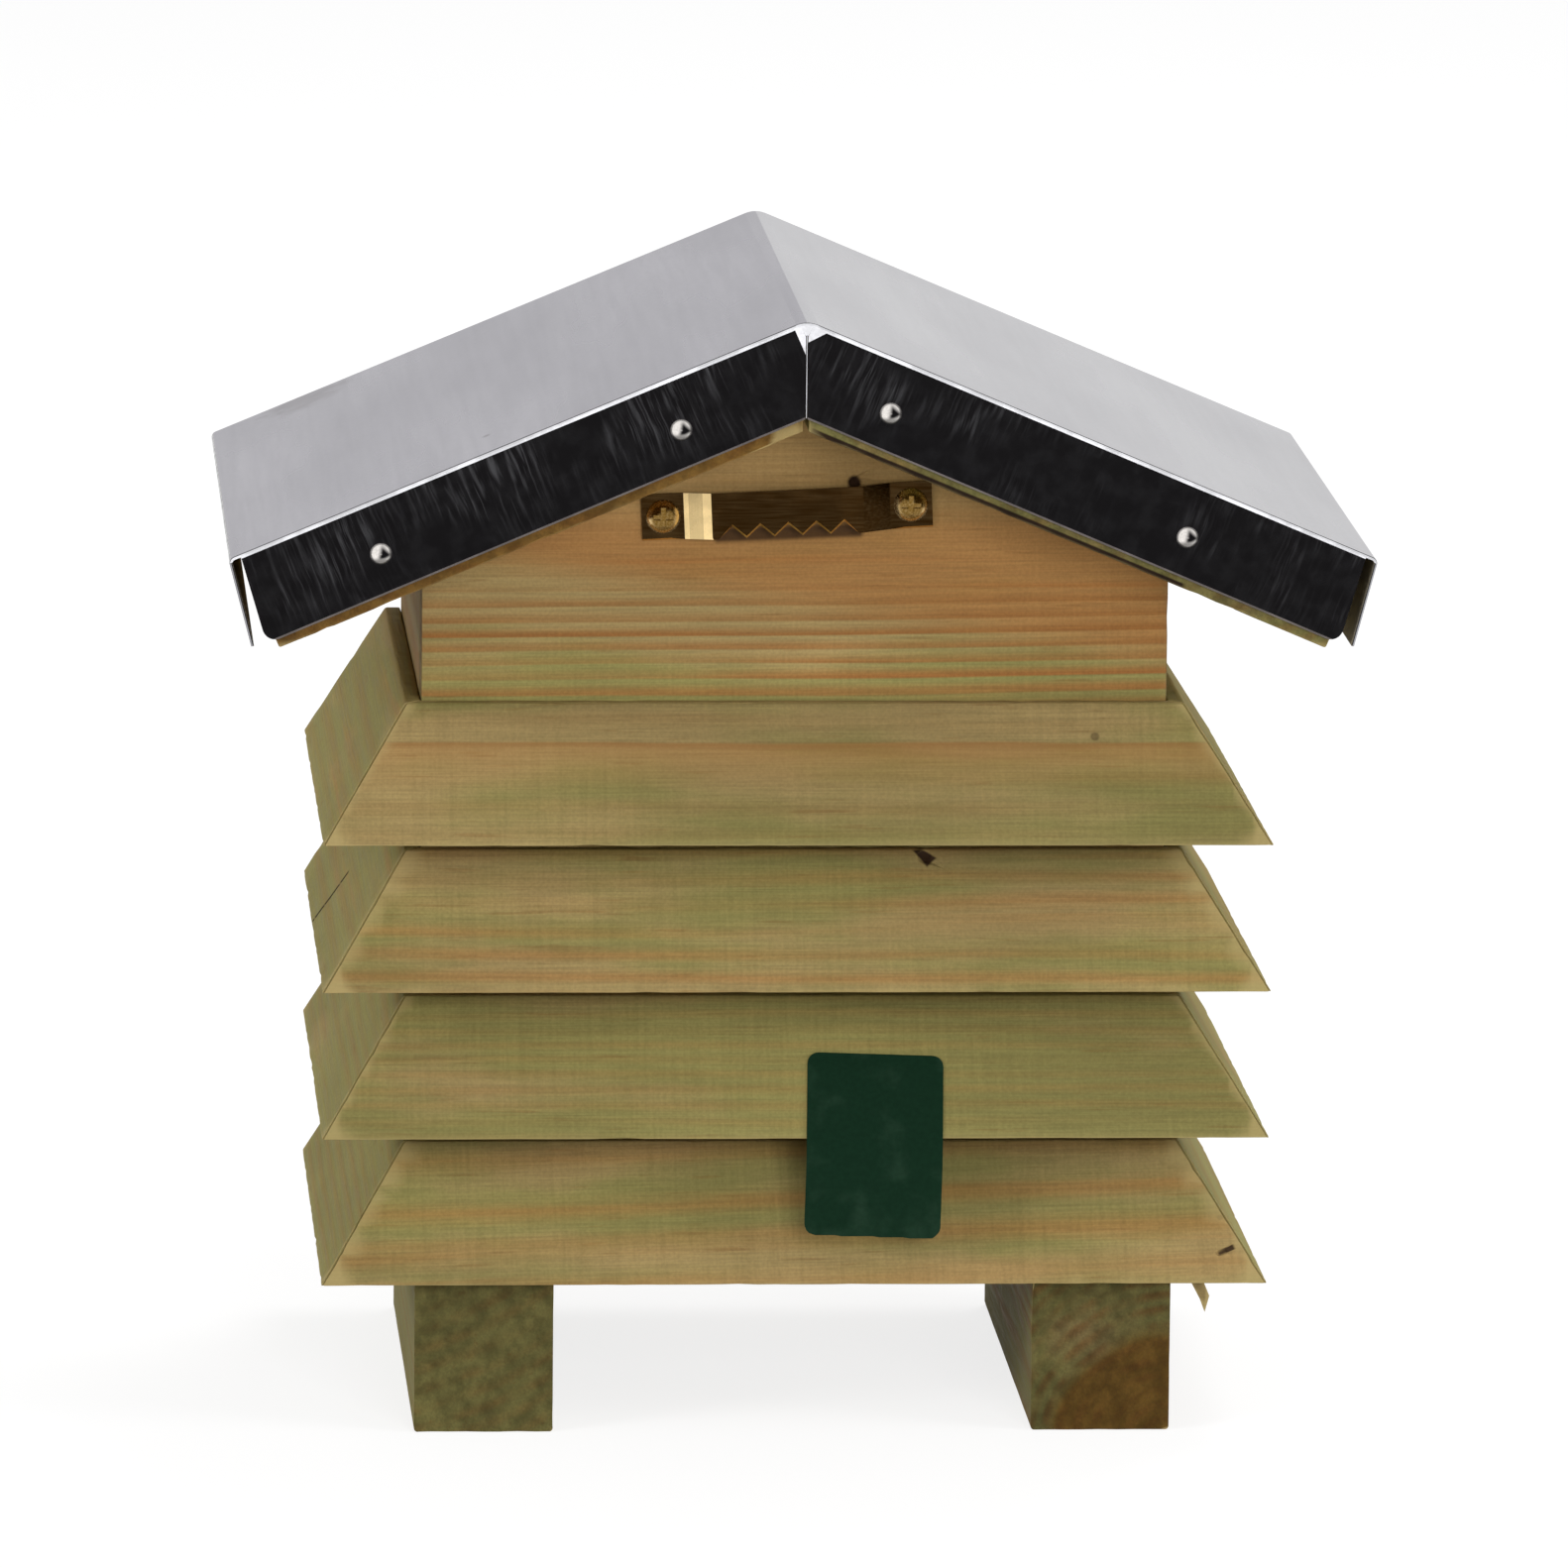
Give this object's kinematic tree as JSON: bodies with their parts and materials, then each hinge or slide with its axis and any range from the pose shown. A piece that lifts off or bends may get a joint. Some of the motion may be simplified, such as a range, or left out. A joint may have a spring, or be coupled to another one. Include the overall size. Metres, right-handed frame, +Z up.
{
  "type": "bee hotel",
  "caption": "Hive-shaped bee hotel: bevelled louvre tiers round a pine box, pitched sheet-metal roof, runner feet, saw-tooth hanger and an open front of hollow nest canes.",
  "frame": {"origin": "on the ground, under the middle of the roof", "axes": "+Z up, +Y towards the rear with the hanger, so the open front faces -Y; +X to the right as the front is seen"},
  "size_m": [0.2394, 0.1848, 0.2387],
  "materials": {
    "treated_pine": "rough-sawn, green-tinged",
    "foot_pine": "sawn, end grain showing",
    "bamboo": "satin skin, sawn ends",
    "galvanised_sheet": "galvanised",
    "bright_steel": "bright",
    "brass": "dull brassed steel",
    "plain_steel": "plain wire"
  },
  "bodies": {
    "root": {"back_board": "treated_pine", "back_gable": "treated_pine", "back_louvre_1": "treated_pine", "back_louvre_2": "treated_pine", "back_louvre_3": "treated_pine", "back_louvre_4": "treated_pine", "board_nails": "plain_steel", "cane_01": "bamboo", "cane_02": "bamboo", "cane_03": "bamboo", "cane_04": "bamboo", "cane_05": "bamboo", "cane_06": "bamboo", "cane_07": "bamboo", "cane_08": "bamboo", "cane_09": "bamboo", "cane_10": "bamboo", "cane_11": "bamboo", "cane_12": "bamboo", "cane_13": "bamboo", "cane_14": "bamboo", "cane_15": "bamboo", "cane_16": "bamboo", "cane_17": "bamboo", "cane_18": "bamboo", "cane_19": "bamboo", "cane_20": "bamboo", "cane_21": "bamboo", "cane_22": "bamboo", "cane_23": "bamboo", "cane_24": "bamboo", "cane_25": "bamboo", "cane_26": "bamboo", "cane_27": "bamboo", "ceiling_board": "treated_pine", "floor_board": "treated_pine", "front_gable": "treated_pine", "hanger_plate": "brass", "hanger_screws": "brass", "left_foot": "foot_pine", "left_louvre_1": "treated_pine", "left_louvre_2": "treated_pine", "left_louvre_3": "treated_pine", "left_louvre_4": "treated_pine", "left_roof_board": "treated_pine", "left_side_board": "treated_pine", "louvre_pins": "plain_steel", "right_foot": "foot_pine", "right_louvre_1": "treated_pine", "right_louvre_2": "treated_pine", "right_louvre_3": "treated_pine", "right_louvre_4": "treated_pine", "right_roof_board": "treated_pine", "right_side_board": "treated_pine", "roof_board_nails": "plain_steel", "roof_nails": "bright_steel", "roof_sheet": "galvanised_sheet"}
  },
  "joints": []
}
